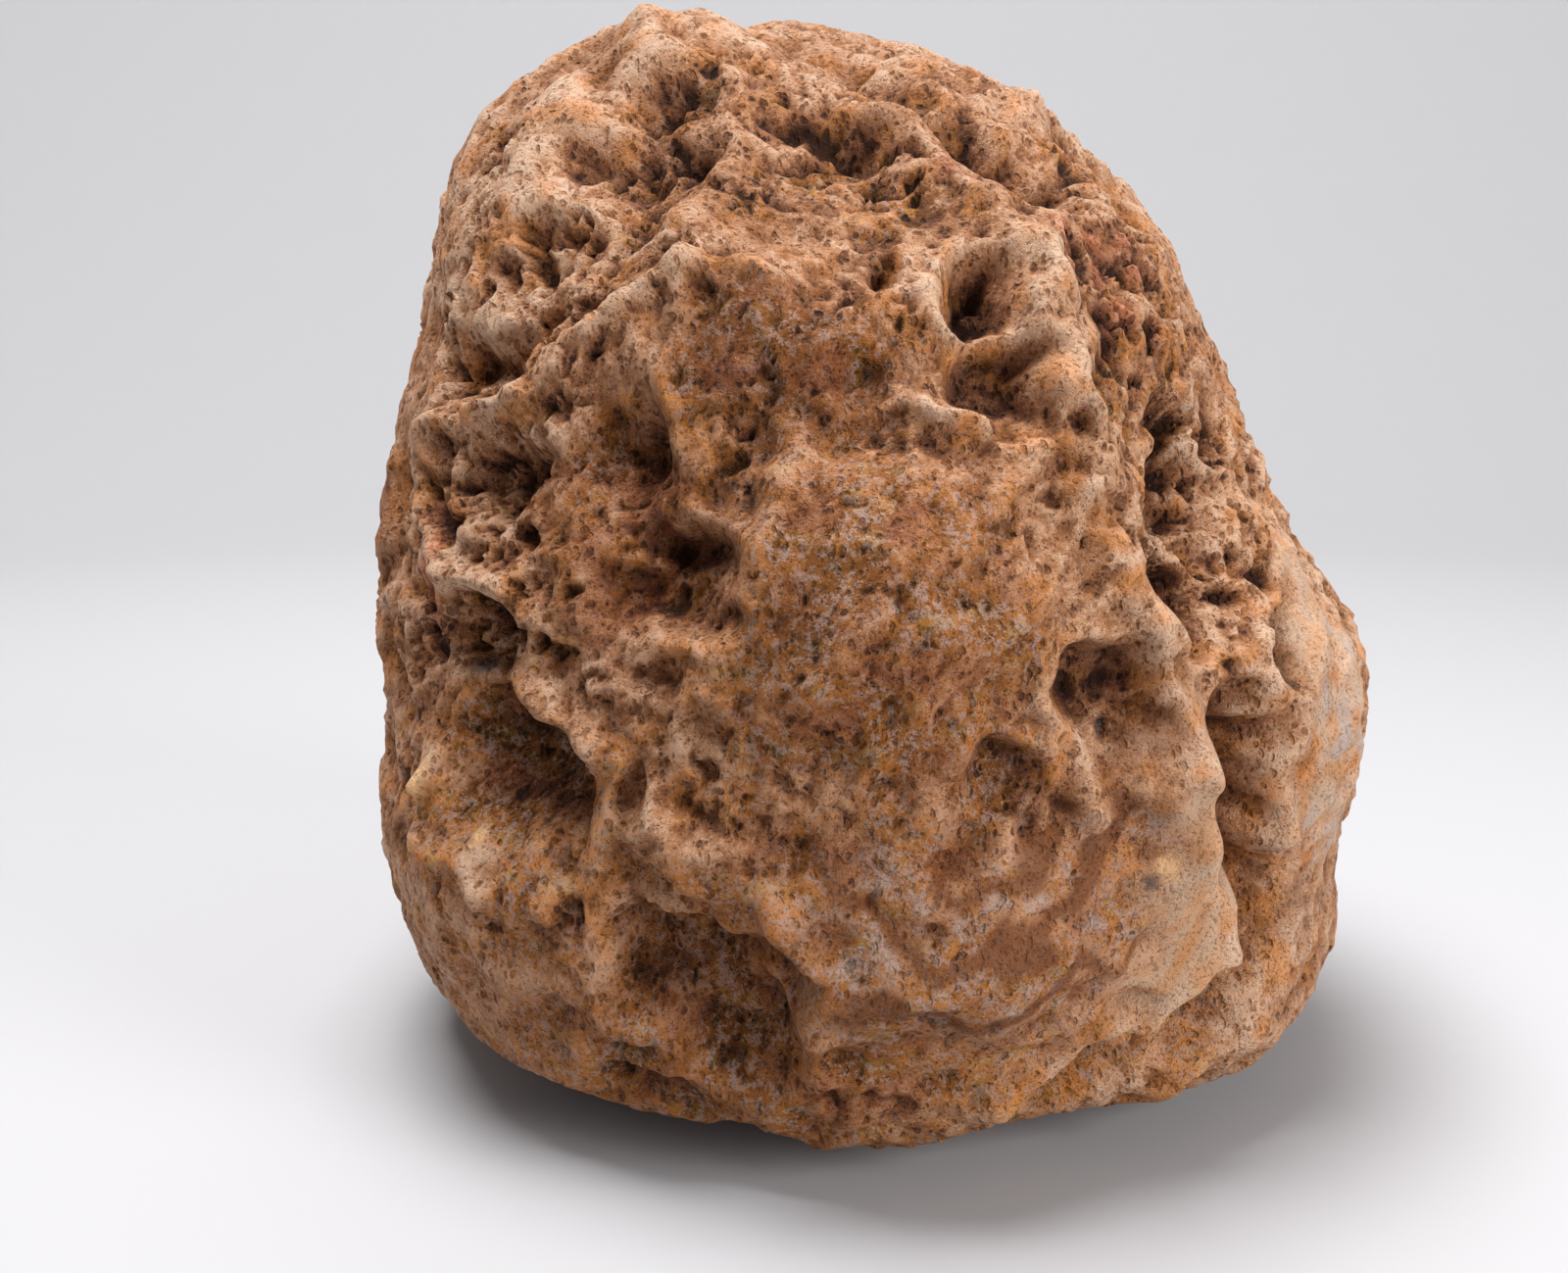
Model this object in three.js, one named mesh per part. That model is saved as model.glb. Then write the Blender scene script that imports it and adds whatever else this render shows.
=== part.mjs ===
// An unopened geode: a nodule of brown chalcedony, pitted and ridged all over, in one solid.
// Millimetres, +Z up. It stands on a small flat at z = 0, with its middle over the origin.
import * as THREE from 'three';
import { mergeVertices } from 'three/addons/utils/BufferGeometryUtils.js';

// Driving dimensions.
const CORE_HEIGHT = 54;
const MEAN_RADIUS = 58;
const FACET_SPLITS = 21;

// The rind's finish.
const RIND_COLOUR = 0x9c6a45;
const RIND_ROUGHNESS = 0.62;

// Four half outlines, from below the core to above it: [latitude in degrees, radius].
const RIGHT_OUTLINE = [
  [-90, 56], [-65, 58], [-52, 63.5], [-42, 71], [-33, 68.5], [-26, 62], [-15, 60], [-4, 57.8],
  [3, 53.5], [10, 50], [25, 47], [40, 48], [53, 52.5], [63, 54.5], [72, 57.5], [82, 61], [90, 62.5],
];
const LEFT_OUTLINE = [
  [-90, 56], [-65, 60.5], [-52, 65], [-42, 70], [-33, 66.5], [-24, 63], [-12, 58], [0, 57.5],
  [13, 57], [25, 59], [36, 62], [46, 67.5], [54, 69.5], [62, 67.5], [72, 64.5], [82, 63],
  [90, 62.5],
];
const FRONT_OUTLINE = [
  [-90, 56], [-65, 60], [-52, 64], [-44, 67.5], [-33, 65], [-20, 61], [-6, 57], [6, 55.5],
  [20, 55], [33, 56], [46, 56], [58, 56], [68, 57.5], [80, 61], [90, 62.5],
];
const BACK_OUTLINE = [
  [-90, 56], [-65, 60], [-50, 63], [-38, 62], [-20, 57], [0, 54], [20, 54], [40, 56], [60, 59],
  [76, 61.5], [90, 62.5],
];

// Places on the stone are [longitude, latitude] in degrees about the core: longitude 0 is the
// front (-Y), 90 the right (+X), 180 the back and -90 the left.

// Swells and broad sinks: [longitude, latitude, half width, half height, rise].
const SWELLS = [
  // the front: crown, brow, nose, chin, cheek and the smooth right lobe
  [-62, 66, 11.5, 9.5, 7], [-140, 76, 12, 10, 5.5], [-12, 33, 9, 7.5, 3.6], [-1, 6, 12, 15, 6.6],
  [4, -25, 15, 9, 5], [-50, -24, 8, 9, 2.8], [-52, -13.5, 1.9, 2, 2.4], [-36, -37, 10, 6, 1.8],
  [-4, -45, 12, 7, 2.6], [40, -52, 9, 6, -3.4], [-38, -54, 8, 6, -2.4], [54, -10, 8, 18, 2],
  [31, -19, 3, 7, 2.4], [42, 46, 8, 12, 1.4], [-16, 79, 7, 5, -1.6], [-6, 24, 9, 4, -1.4],
  [70, 66, 8, 5, -1.4], [24, -51, 8, 5, -2],
  [28, -15, 4.4, 6.5, 2.2], [-47, 0, 8, 9, -3.4], [-37, -10, 9, 7, -2.8], [34, 14, 6, 15, -3.6],
  [-43, 39, 9, 9, -3.4], [28, 58, 9, 5, -2.8], [0, 51, 10, 5, -1.6], [-18, -24, 10, 9, -2.4],
  [-21, 10, 8, 8, -2.2], [-28, 21, 6, 7, -1.6], [37, -20, 6, 10, -1.8],
  // the sides and the back
  [125, 34, 12, 9, 4], [165, -20, 14, 10, 4.4], [-120, 8, 9, 14, 4], [-150, 40, 11, 8, 4],
  [108, -30, 10, 9, 3.2], [145, 2, 9, 10, -4.2], [-172, 20, 9, 9, -4], [-112, -32, 10, 8, 1.2],
  [92, 14, 9, 12, -2.6], [-92, 22, 9, 10, -2.6], [-142, -14, 8, 10, -4], [95, 50, 9, 8, 2.8],
];

// Ridges: [half width, height, places along it].
const RIDGES = [
  // from the crown across the top and down the right of the nose
  [3.2, 2.8, [[-62, 72], [-38, 71], [-12, 68], [7, 62], [15, 52], [18, 45], [19.5, 37],
    [20.5, 29], [22, 21], [23.5, 13], [25.5, 3], [27.5, -4], [29, -11]]],
  // from the brow out to the left, then back under the nose to the chin
  [2.4, 3, [[-14, 37], [-25, 38], [-34, 31], [-41, 26], [-52, 23], [-60, 19], [-59, 12],
    [-51, 7], [-43, 5], [-38, -1], [-34, -6], [-27, -11], [-20, -17], [-12, -20], [-8, -23]]],
  [2.4, 1.4, [[-8, -23], [-6, -30], [-6, -36]]],
  // around the brow and the nose
  [1.8, 1.6, [[-24, 43], [-25, 37], [-24, 29], [-24, 22]]],
  [1.5, 1.3, [[-6, 25.5], [2, 26.5], [8, 24.5], [14, 23.5]]],
  [1.8, 1.6, [[-10, 20], [-11, 14], [-13, 7], [-17, 0]]],
  [1.5, 1.6, [[14, -3.5], [18, -7.5], [20, -13]]],
  // the right flank, the chin's overhanging edge, the cheek and the top
  [2.2, 1.6, [[48, 12], [44, 6], [41, 0], [42, -8], [45, -18]]],
  [2.2, 2.4, [[31, -13], [35, -20], [37, -25], [35, -29], [32, -32], [25, -34], [20, -37],
    [14, -41]]],
  [1.8, 1.8, [[-54, -13], [-51, -19], [-46, -21], [-40, -25]]],
  [2, 1.5, [[-44, 58], [-34, 52], [-28, 46]]],
  [1.4, 1.4, [[-22, 54], [-18, 60], [-8, 63], [2, 63]]],
  // the back
  [3, 2.8, [[60, 70], [95, 60], [112, 45], [118, 28], [112, 12], [118, -5], [128, -15],
    [122, -32]]],
  [3, 2.8, [[-100, 62], [-118, 50], [-140, 46], [-155, 38], [-150, 22], [-140, 5],
    [-148, -12], [-150, -35]]],
  [2.6, 2.4, [[150, 55], [158, 40], [150, 25], [160, 12], [165, -2], [158, -15]]],
  [2.2, 2, [[118, 28], [135, 25], [150, 25]]],
  [2.4, 2.2, [[-140, 5], [-120, 2], [-105, -2], [-95, -12], [-98, -30]]],
];

// Gullies: [half width, depth, places along it].
const GULLIES = [
  // under the chin's right edge, then back below it
  [3.2, 6, [[36, -13], [40, -19], [43, -25], [41, -30], [38, -34], [30, -36], [24, -39],
    [19, -43]]],
  [2.2, 2.4, [[-30, -38], [-23, -40], [-17, -43]]],
  [2.2, 1.8, [[-55, 57], [-45, 60], [-38, 62]]],
  [2.4, 1.8, [[-6, 78], [10, 72], [24, 66]]],
  // the back
  [2.2, 3, [[126, 14], [131, 4], [128, -6]]],
  [2.2, 3.2, [[-162, 2], [-158, -8], [-163, -18]]],
];

// Hollows, each with a steep upper wall: [longitude, latitude, half width, half height, depth].
const HOLLOWS = [
  // upper left
  [-41, 51, 9.5, 9.5, 5.9], [-66, 60, 6, 6, 2.8], [-71, 57, 4.5, 5, 2.2], [-53, 28, 8.2, 6.2, 3.8],
  [-45, 33, 3.2, 2.8, 2.6], [-50, 41, 5.4, 4.8, 3.1], [-36, 35, 3.2, 2.8, 2.7],
  // left of the nose
  [-44, 16, 6.8, 6.4, 5.6], [-39.5, 10.5, 2.4, 2, 1.8], [-29, 21, 5.4, 6.8, 3.5],
  [-20, 10, 7.4, 5.2, 4.3], [-26.5, 6.5, 4.8, 3.2, 3], [-16, 4.5, 3.6, 2.6, 2.4],
  [-20, -1, 4.4, 2.4, 1.6], [-45, 0, 6.4, 6.6, 4.1], [-39.5, -13.5, 8.2, 6.8, 4.8],
  [-26, -13, 2.4, 3.2, 2.8], [-70, 10, 5, 9, 2.4], [-66, -4, 3, 5, 1.8],
  // under and right of the nose
  [-20, -28, 6.6, 5.4, 4.8], [-15, -33, 6.2, 5, 4.1], [-10, -27, 3, 4, 2.6],
  [-27, -36, 3.8, 1.8, 1.4], [9.5, -9.5, 6, 3.6, 3.6], [8, -14, 2.6, 2.2, 1.6],
  [12.5, -13.5, 1.8, 1.8, 1.6], [5, -16, 1.8, 1.6, 1.2], [20, -3.5, 5.4, 6.2, 4.8],
  [23, -8, 4, 3, 2.6],
  // the right flank
  [39.5, 25, 4.6, 4, 4], [37, 17.5, 6.4, 6.6, 5.4], [39, 10, 3, 2.6, 2.4], [31, 3, 4.6, 6.8, 4.1],
  [28.5, -2, 1.8, 2, 1.4], [51, 16, 4, 4.4, 2.4], [46, 22, 2.6, 3, 1.8], [37.5, -10, 6.4, 6.6, 5],
  [40, -17, 4.6, 4, 4], [45, -1, 3, 4.8, 3.2], [36, -34, 5, 3.4, 3.5],
  [26, -31, 3.4, 1.7, 1.2],
  // the brow and the top
  [12, 36, 4.8, 5.4, 4.7], [13, 28, 5.6, 4, 4.6], [20, 24, 2.2, 2.1, 1.6], [0, 41, 2.1, 3, 2.2],
  [6, 30, 2.7, 2.7, 1.2], [-4, 28.5, 3.4, 3, 1.6], [19, 63, 5.6, 5.2, 3.8], [35, 54, 6.4, 4.8, 3.7],
  [25, 56, 2.1, 2.1, 2], [5, 75, 3.4, 3.4, 2.4], [-12, 57, 7, 6.8, 3],
  // the right side and the back
  [95, 34, 9.5, 6, 4.4], [80, 38, 5, 5.5, 2.8], [86, -6, 6.5, 4.4, 2.8], [104, 14, 6.5, 9.5, 4.6],
  [97, 5, 4.4, 4, 2.4], [102, -18, 7.5, 5, 3.4], [138, 44, 11, 6.5, 4.7], [127, 26, 4.8, 3.2, 2],
  [141, 10, 6, 9, 4.4], [148, 1, 5, 4, 2.8], [134, -20, 9.5, 6, 4.4], [124, -27, 5.5, 4, 2.6],
  [172, 32, 8, 9.5, 4.6], [164, 24, 5, 4, 2.4], [178, -4, 10, 6, 4.2], [-176, 4, 5, 5.5, 2.8],
  [160, 54, 5, 3.2, 2], [160, -36, 7.5, 4, 2.6], [118, 62, 7.5, 4.6, 3], [-168, 64, 7, 4.6, 3],
  [118, -4, 4.4, 3.2, 2], [88, 17, 3, 5, 2],
  // the left side
  [-166, 50, 7.5, 4.6, 3], [-156, 10, 6.5, 9, 4.4], [-150, -2, 5, 4, 2.6], [-160, -26, 10, 5.5, 4.2],
  [-132, 28, 10, 7, 4.8], [-121, 21, 5, 6, 3.2], [-127, -10, 6, 9, 4.2], [-138, -32, 7.5, 4, 2.8],
  [-105, 18, 6.5, 9, 4.2], [-112, 27, 4.8, 4, 2.6], [-104, -20, 8, 5.5, 3.6], [-99, 44, 9, 5, 3.6],
  [-86, -30, 6, 4, 2.2], [-120, 62, 7.5, 4.4, 3], [-116, 4, 4.4, 3, 1.8], [-88, 2, 4, 6.5, 2.4],
  [-170, -12, 4.4, 2.8, 1.8],
];

// How sharply a hollow's wall falls, as a share of its half width: on average, and the
// difference between the steep upper wall and the gentle lower one.
const WALL_SHARE = 0.9;
const WALL_LEAN = 0.33;
const HOLLOW_REACH = 1.15;
const LIP_SHARE = 0.14;
const LIP_PLACE = 1.3;
const LIP_WIDTH = 0.25;

// Uneven ground over the whole stone: [wave length, height].
const ROLLING = { step: 30, height: 0.7, seed: 5 };
const CREASES = [
  { step: 13, height: 0.9, seed: 71 },
  { step: 6, height: 0.5, seed: 83 },
];
const CREASE_LIFT = 0.6;

// Outlines of the landforms wander by these amounts.
const WANDER = { wideStep: 16, wide: 1.3, fineStep: 7, fine: 0.9 };
const CREST_STRAY = 0.5;

const radians = THREE.MathUtils.degToRad;

// A repeatable row of numbers between 0 and 1.
function makeDice(seed) {
  const MULTIPLIER = 16807;
  const MODULUS = 2147483647;
  let value = seed;
  return () => {
    value = (value * MULTIPLIER) % MODULUS;
    return value / MODULUS;
  };
}

// A rolling field: plane waves of about one length, in scattered directions.
function makeWaves(step, seed) {
  const COUNT = 14;
  const roll = makeDice(seed);
  const waves = [];
  for (let i = 0; i < COUNT; i += 1) {
    const z = 2 * roll() - 1;
    const turn = 2 * Math.PI * roll();
    const level = Math.sqrt(1 - z * z);
    const pace = (2 * Math.PI) / (step * (0.75 + 0.6 * roll()));
    const phase = 2 * Math.PI * roll();
    const way = new THREE.Vector3(level * Math.cos(turn), level * Math.sin(turn), z);
    waves.push({ way: way.multiplyScalar(pace), phase });
  }
  return (point) => {
    let sum = 0;
    for (const wave of waves) {
      sum += Math.sin(wave.way.dot(point) + wave.phase);
    }
    return sum / Math.sqrt(COUNT);
  };
}

function directionOf([longitude, latitude]) {
  const lon = radians(longitude);
  const lat = radians(latitude);
  const level = Math.cos(lat);
  return new THREE.Vector3(Math.sin(lon) * level, -Math.cos(lon) * level, Math.sin(lat));
}

function smooth(value) {
  const t = THREE.MathUtils.clamp(value, 0, 1);
  return t * t * (3 - 2 * t);
}

// The slope at each point of an outline, from its two neighbours.
function slopesOf(outline) {
  const last = outline.length - 1;
  return outline.map((point, i) => {
    const before = outline[Math.max(i - 1, 0)];
    const after = outline[Math.min(i + 1, last)];
    if (i === 0 || i === last) {
      return (after[1] - before[1]) / (after[0] - before[0]);
    }
    const left = point[0] - before[0];
    const right = after[0] - point[0];
    const leftSlope = (point[1] - before[1]) / left;
    const rightSlope = (after[1] - point[1]) / right;
    return (leftSlope * right + rightSlope * left) / (left + right);
  });
}

// A smooth curve through an outline's points.
function makeProfile(outline) {
  const slopes = slopesOf(outline);
  return (latitude) => {
    let i = 0;
    while (i < outline.length - 2 && latitude >= outline[i + 1][0]) {
      i += 1;
    }
    const [from, radiusFrom] = outline[i];
    const [to, radiusTo] = outline[i + 1];
    const span = to - from;
    const t = (latitude - from) / span;
    const t2 = t * t;
    const t3 = t2 * t;
    return (2 * t3 - 3 * t2 + 1) * radiusFrom + (t3 - 2 * t2 + t) * span * slopes[i]
      + (3 * t2 - 2 * t3) * radiusTo + (t3 - t2) * span * slopes[i + 1];
  };
}

const profiles = {
  right: makeProfile(RIGHT_OUTLINE),
  left: makeProfile(LEFT_OUTLINE),
  front: makeProfile(FRONT_OUTLINE),
  back: makeProfile(BACK_OUTLINE),
};

// The bare form: the four half outlines, joined by quarters of ellipses at each level.
function bareRadius(direction) {
  const latitude = THREE.MathUtils.radToDeg(Math.asin(THREE.MathUtils.clamp(direction.z, -1, 1)));
  const level = Math.hypot(direction.x, direction.y);
  const sideways = level > 0 ? direction.x / level : 0;
  const forward = level > 0 ? -direction.y / level : 1;
  const side = (sideways > 0 ? profiles.right : profiles.left)(latitude);
  const face = (forward > 0 ? profiles.front : profiles.back)(latitude);
  return 1 / Math.hypot(sideways / side, forward / face);
}

// Where a direction lies on the ground about a place: mm to the east and the north of it.
function makeGround(place) {
  const lon = radians(place[0]);
  const lat = radians(place[1]);
  const up = directionOf(place);
  const east = new THREE.Vector3(Math.cos(lon), Math.sin(lon), 0);
  const north = new THREE.Vector3().crossVectors(up, east);
  return (direction, shift, share) => ({
    near: direction.dot(up) > 0.2,
    x: direction.dot(east) * MEAN_RADIUS + shift.x * share,
    y: direction.dot(north) * MEAN_RADIUS + shift.y * share,
  });
}

function makeSwell([longitude, latitude, halfWidth, halfHeight, rise]) {
  const STEEPNESS = 1.1;
  const SHIFT_SHARE = 0.6;
  const ground = makeGround([longitude, latitude]);
  return (direction, shift) => {
    const { near, x, y } = ground(direction, shift, SHIFT_SHARE);
    const reach = (x / halfWidth) ** 2 + (y / halfHeight) ** 2;
    return near ? rise * Math.exp(-STEEPNESS * reach) : 0;
  };
}

// A ridge, or a gully where the height is negative.
function makeCrest([width, height, places]) {
  const points = places.map((place) => directionOf(place).multiplyScalar(MEAN_RADIUS));
  const closest = new THREE.Vector3();
  const parts = points.slice(1).map((end, i) => new THREE.Line3(points[i], end));
  return (point) => {
    let nearest = Infinity;
    for (const part of parts) {
      part.closestPointToPoint(point, true, closest);
      nearest = Math.min(nearest, closest.distanceTo(point));
    }
    return height * Math.exp(-((nearest / width) ** 2));
  };
}

// A hollow gives its depth at a direction, and the height of the lip around it.
function makeHollow([longitude, latitude, halfWidth, halfHeight, depth]) {
  const FULL_SHIFT_SIZE = 5;
  const ground = makeGround([longitude, latitude]);
  const share = Math.min(1, Math.min(halfWidth, halfHeight) / FULL_SHIFT_SIZE);
  return (direction, shift) => {
    const { near, x, y } = ground(direction, shift, share);
    if (!near) {
      return { depth: 0, lip: 0 };
    }
    const away = Math.hypot(x / halfWidth, y / halfHeight);
    const upward = away > 0.05 ? y / halfHeight / away : 0;
    const wall = WALL_SHARE - WALL_LEAN * upward;
    const lip = Math.exp(-(((away - LIP_PLACE) / LIP_WIDTH) ** 2));
    return {
      depth: depth * smooth((HOLLOW_REACH - away) / wall),
      lip: LIP_SHARE * depth * lip,
    };
  };
}

const swells = SWELLS.map(makeSwell);
const ridges = RIDGES.map(makeCrest);
const gullies = GULLIES.map(([width, depth, places]) => makeCrest([width, -depth, places]));
const hollows = HOLLOWS.map(makeHollow);
const rolling = makeWaves(ROLLING.step, ROLLING.seed);
const creases = CREASES.map(({ step, seed }) => makeWaves(step, seed));
const wideEast = makeWaves(WANDER.wideStep, 11);
const wideNorth = makeWaves(WANDER.wideStep, 23);
const fineEast = makeWaves(WANDER.fineStep, 37);
const fineNorth = makeWaves(WANDER.fineStep, 41);

// Hollows that overlap share a floor instead of adding up.
function hollowedBy(direction, shift) {
  let cubes = 0;
  let lip = 0;
  for (const hollow of hollows) {
    const here = hollow(direction, shift);
    cubes += here.depth ** 3;
    lip = Math.max(lip, here.lip);
  }
  const depth = Math.cbrt(cubes);
  return depth - lip * Math.exp(-depth);
}

function stoneRadius(direction) {
  const place = direction.clone().multiplyScalar(MEAN_RADIUS);
  const shift = {
    x: WANDER.wide * wideEast(place) + WANDER.fine * fineEast(place),
    y: WANDER.wide * wideNorth(place) + WANDER.fine * fineNorth(place),
  };
  const strayed = new THREE.Vector3(shift.x, shift.y, shift.x - shift.y);
  strayed.multiplyScalar(CREST_STRAY).add(place);
  let radius = bareRadius(direction) + ROLLING.height * rolling(place) + CREASE_LIFT;
  for (const swell of swells) {
    radius += swell(direction, shift);
  }
  for (const crest of [...ridges, ...gullies]) {
    radius += crest(strayed);
  }
  creases.forEach((crease, i) => {
    radius -= CREASES[i].height * Math.abs(crease(place));
  });
  return radius - hollowedBy(direction, shift);
}

// A ball of even facets, with each corner moved out to the stone's surface. What would reach
// below the ground is pressed flat against it: that is the face the stone stands on.
function makeStone() {
  const ball = new THREE.IcosahedronGeometry(1, FACET_SPLITS);
  ball.deleteAttribute('normal');
  ball.deleteAttribute('uv');
  const stone = mergeVertices(ball);
  const corners = stone.getAttribute('position');
  const corner = new THREE.Vector3();
  for (let i = 0; i < corners.count; i += 1) {
    corner.fromBufferAttribute(corners, i).normalize();
    corner.multiplyScalar(stoneRadius(corner));
    corners.setXYZ(i, corner.x, corner.y, Math.max(corner.z + CORE_HEIGHT, 0));
  }
  stone.computeBoundingBox();
  const middle = stone.boundingBox.getCenter(new THREE.Vector3());
  stone.translate(-middle.x, -middle.y, 0);
  return stone;
}

const rind = new THREE.MeshStandardMaterial({
  color: RIND_COLOUR,
  roughness: RIND_ROUGHNESS,
  metalness: 0,
  flatShading: true,
});

const geode = new THREE.Mesh(makeStone(), rind);
geode.name = 'geode';

const part = new THREE.Group();
part.add(geode);

export default part;
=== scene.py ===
# %% [markdown]
# # An unopened geode
#
# The object is one natural thing: a whole nodule of brown chalcedony, about 12 cm tall, that
# nobody has cut or cracked. Its rind is what there is to see. From far to near it has three
# scales of form: big lobes, ridges and hollows a centimetre or two across; a honeycomb of
# pits two to five millimetres wide; and a grain finer than a millimetre.
#
# A frame holds the stone's plain faceted solid, which fixes its place and its size. This
# script makes the surface that is seen, with the same big forms and all the fine ones.

# %% Load the frame
import math
import bpy
import numpy as np
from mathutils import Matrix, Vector


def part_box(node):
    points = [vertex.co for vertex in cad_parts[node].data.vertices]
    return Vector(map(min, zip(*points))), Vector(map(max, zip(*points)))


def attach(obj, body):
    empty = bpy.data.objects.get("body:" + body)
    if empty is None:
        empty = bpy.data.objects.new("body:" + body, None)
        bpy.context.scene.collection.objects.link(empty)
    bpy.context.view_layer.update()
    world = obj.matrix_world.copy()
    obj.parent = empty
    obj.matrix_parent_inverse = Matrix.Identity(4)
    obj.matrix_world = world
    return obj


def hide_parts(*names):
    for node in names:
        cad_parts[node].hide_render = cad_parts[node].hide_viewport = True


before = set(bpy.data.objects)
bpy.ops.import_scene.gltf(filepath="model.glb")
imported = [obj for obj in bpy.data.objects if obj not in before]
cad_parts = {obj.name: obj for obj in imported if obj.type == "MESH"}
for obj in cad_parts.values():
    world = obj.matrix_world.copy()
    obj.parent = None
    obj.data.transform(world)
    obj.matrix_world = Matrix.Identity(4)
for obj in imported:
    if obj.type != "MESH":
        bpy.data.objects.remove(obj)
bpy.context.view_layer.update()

MM = 0.001
stone_low, stone_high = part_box("geode")
print("the solid is", [round(side / MM, 1) for side in stone_high - stone_low], "mm")

# %% [markdown]
# ## The camera
#
# The stone is seen from close by, a little from above, so it looms: its nearest lobe is
# clearly larger than its far side. A focal length of 42.75 mm on a 36 mm sensor, 222 mm from
# the stone's middle, gives that look. The camera is made first, because everything that
# follows is judged through it.

# %% Camera
CAMERA_PLACE = Vector((-9.45, -220.3, 87.0)) * MM
CAMERA_LENS = 42.75
CAMERA_SENSOR = 36.0
CAMERA_DIP = math.radians(10.0)
NEAREST_SEEN = 10 * MM


def make_camera():
    data = bpy.data.cameras.new("camera")
    data.lens = CAMERA_LENS
    data.sensor_width = CAMERA_SENSOR
    data.clip_start = NEAREST_SEEN
    camera = bpy.data.objects.new("camera", data)
    camera.location = CAMERA_PLACE
    camera.rotation_euler = (math.radians(90.0) - CAMERA_DIP, 0.0, 0.0)
    bpy.context.collection.objects.link(camera)
    bpy.context.scene.camera = camera
    return camera


camera = make_camera()
print("the camera is", round(camera.location.length / MM), "mm from the stone's foot")

# %% [markdown]
# ## A ball of points to carve
#
# Any stone without overhangs can be described by one number per direction: how far its
# surface lies from a point in its core. A cube whose faces are grids, blown up to a ball,
# gives directions that are spaced evenly everywhere, with no poles where a globe's points
# would crowd. Stepping the grid by equal angles keeps its squares nearly equal too. Pushing
# all the directions a little forwards then packs them closer on the side that is seen most.

# %% Directions from the core
GRID = 128
FRONT_LEAN = np.array((0.0, -0.22, 0.0))
CUBE_SIDES = (
    ((1, 0, 0), (0, 1, 0), (0, 0, 1)),
    ((-1, 0, 0), (0, -1, 0), (0, 0, 1)),
    ((0, 1, 0), (-1, 0, 0), (0, 0, 1)),
    ((0, -1, 0), (1, 0, 0), (0, 0, 1)),
    ((0, 0, 1), (0, 1, 0), (-1, 0, 0)),
    ((0, 0, -1), (0, 1, 0), (1, 0, 0)),
)


def make_ball(grid):
    """Unit directions, and the four-cornered faces between them."""
    steps = np.tan(np.linspace(-math.pi / 4, math.pi / 4, grid + 1))
    across, along = np.meshgrid(steps, steps, indexing="ij")
    corners, faces = [], []
    for count, (out, right, up) in enumerate(np.array(CUBE_SIDES, float)):
        side = out + across[..., None] * right + along[..., None] * up
        corners.append((side / np.linalg.norm(side, axis=-1, keepdims=True)).reshape(-1, 3))
        index = np.arange((grid + 1) ** 2).reshape(grid + 1, grid + 1) + count * (grid + 1) ** 2
        ring = (index[:-1, :-1], index[1:, :-1], index[1:, 1:], index[:-1, 1:])
        faces.append(np.stack(ring, -1).reshape(-1, 4))
    corners, faces = np.concatenate(corners), np.concatenate(faces)
    # two sides of the cube share the points on their common edge: keep one of each
    _, first, same = np.unique(corners.round(6), axis=0, return_index=True, return_inverse=True)
    return corners[first], same.reshape(-1)[faces]


ways, faces = make_ball(GRID)
ways = ways + FRONT_LEAN
ways /= np.linalg.norm(ways, axis=1, keepdims=True)
print(len(ways), "directions,", len(faces), "faces")

# %% [markdown]
# ## The bare form
#
# Before it has any relief, the stone is a leaning, broad-footed egg. Four half outlines give
# its radius from below the core to above it, on the right, the left, the front and the back,
# and between two of them the radius runs round as a quarter of an ellipse. Sculpting by
# outlines keeps each number a size that can be checked with a ruler. All sizes here are in
# millimetres, and only the finished points are turned into metres.

# %% Outlines to a form
# each outline goes from straight down to straight up: (latitude in degrees, radius in mm)
RIGHT_OUTLINE = (
    (-90, 56), (-65, 58), (-52, 63.5), (-42, 71), (-33, 68.5), (-26, 62), (-15, 60), (-4, 57.8),
    (3, 53.5), (10, 50), (25, 47), (40, 48), (53, 52.5), (63, 54.5), (72, 57.5), (82, 61),
    (90, 62.5),
)
LEFT_OUTLINE = (
    (-90, 56), (-65, 60.5), (-52, 65), (-42, 70), (-33, 66.5), (-24, 63), (-12, 58), (0, 57.5),
    (13, 57), (25, 59), (36, 62), (46, 67.5), (54, 69.5), (62, 67.5), (72, 64.5), (82, 63),
    (90, 62.5),
)
FRONT_OUTLINE = (
    (-90, 56), (-65, 60), (-52, 64), (-44, 67.5), (-33, 65), (-20, 61), (-6, 57), (6, 55.5),
    (20, 55), (33, 56), (46, 56), (58, 56), (68, 57.5), (80, 61), (90, 62.5),
)
BACK_OUTLINE = (
    (-90, 56), (-65, 60), (-50, 63), (-38, 62), (-20, 57), (0, 54), (20, 54), (40, 56), (60, 59),
    (76, 61.5), (90, 62.5),
)


def follow(outline, latitude):
    """The radius at each latitude, on a smooth curve through an outline's points."""
    places, radii = np.array(outline, float).T
    slopes = np.gradient(radii, places)
    i = np.clip(np.searchsorted(places, latitude, side="right") - 1, 0, len(places) - 2)
    span = places[i + 1] - places[i]
    t = (latitude - places[i]) / span
    start, finish = 2 * t**3 - 3 * t**2 + 1, 3 * t**2 - 2 * t**3
    lead, trail = (t**3 - 2 * t**2 + t) * span, (t**3 - t**2) * span
    return start * radii[i] + lead * slopes[i] + finish * radii[i + 1] + trail * slopes[i + 1]


STRAIGHT_UP = 1e-9


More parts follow.
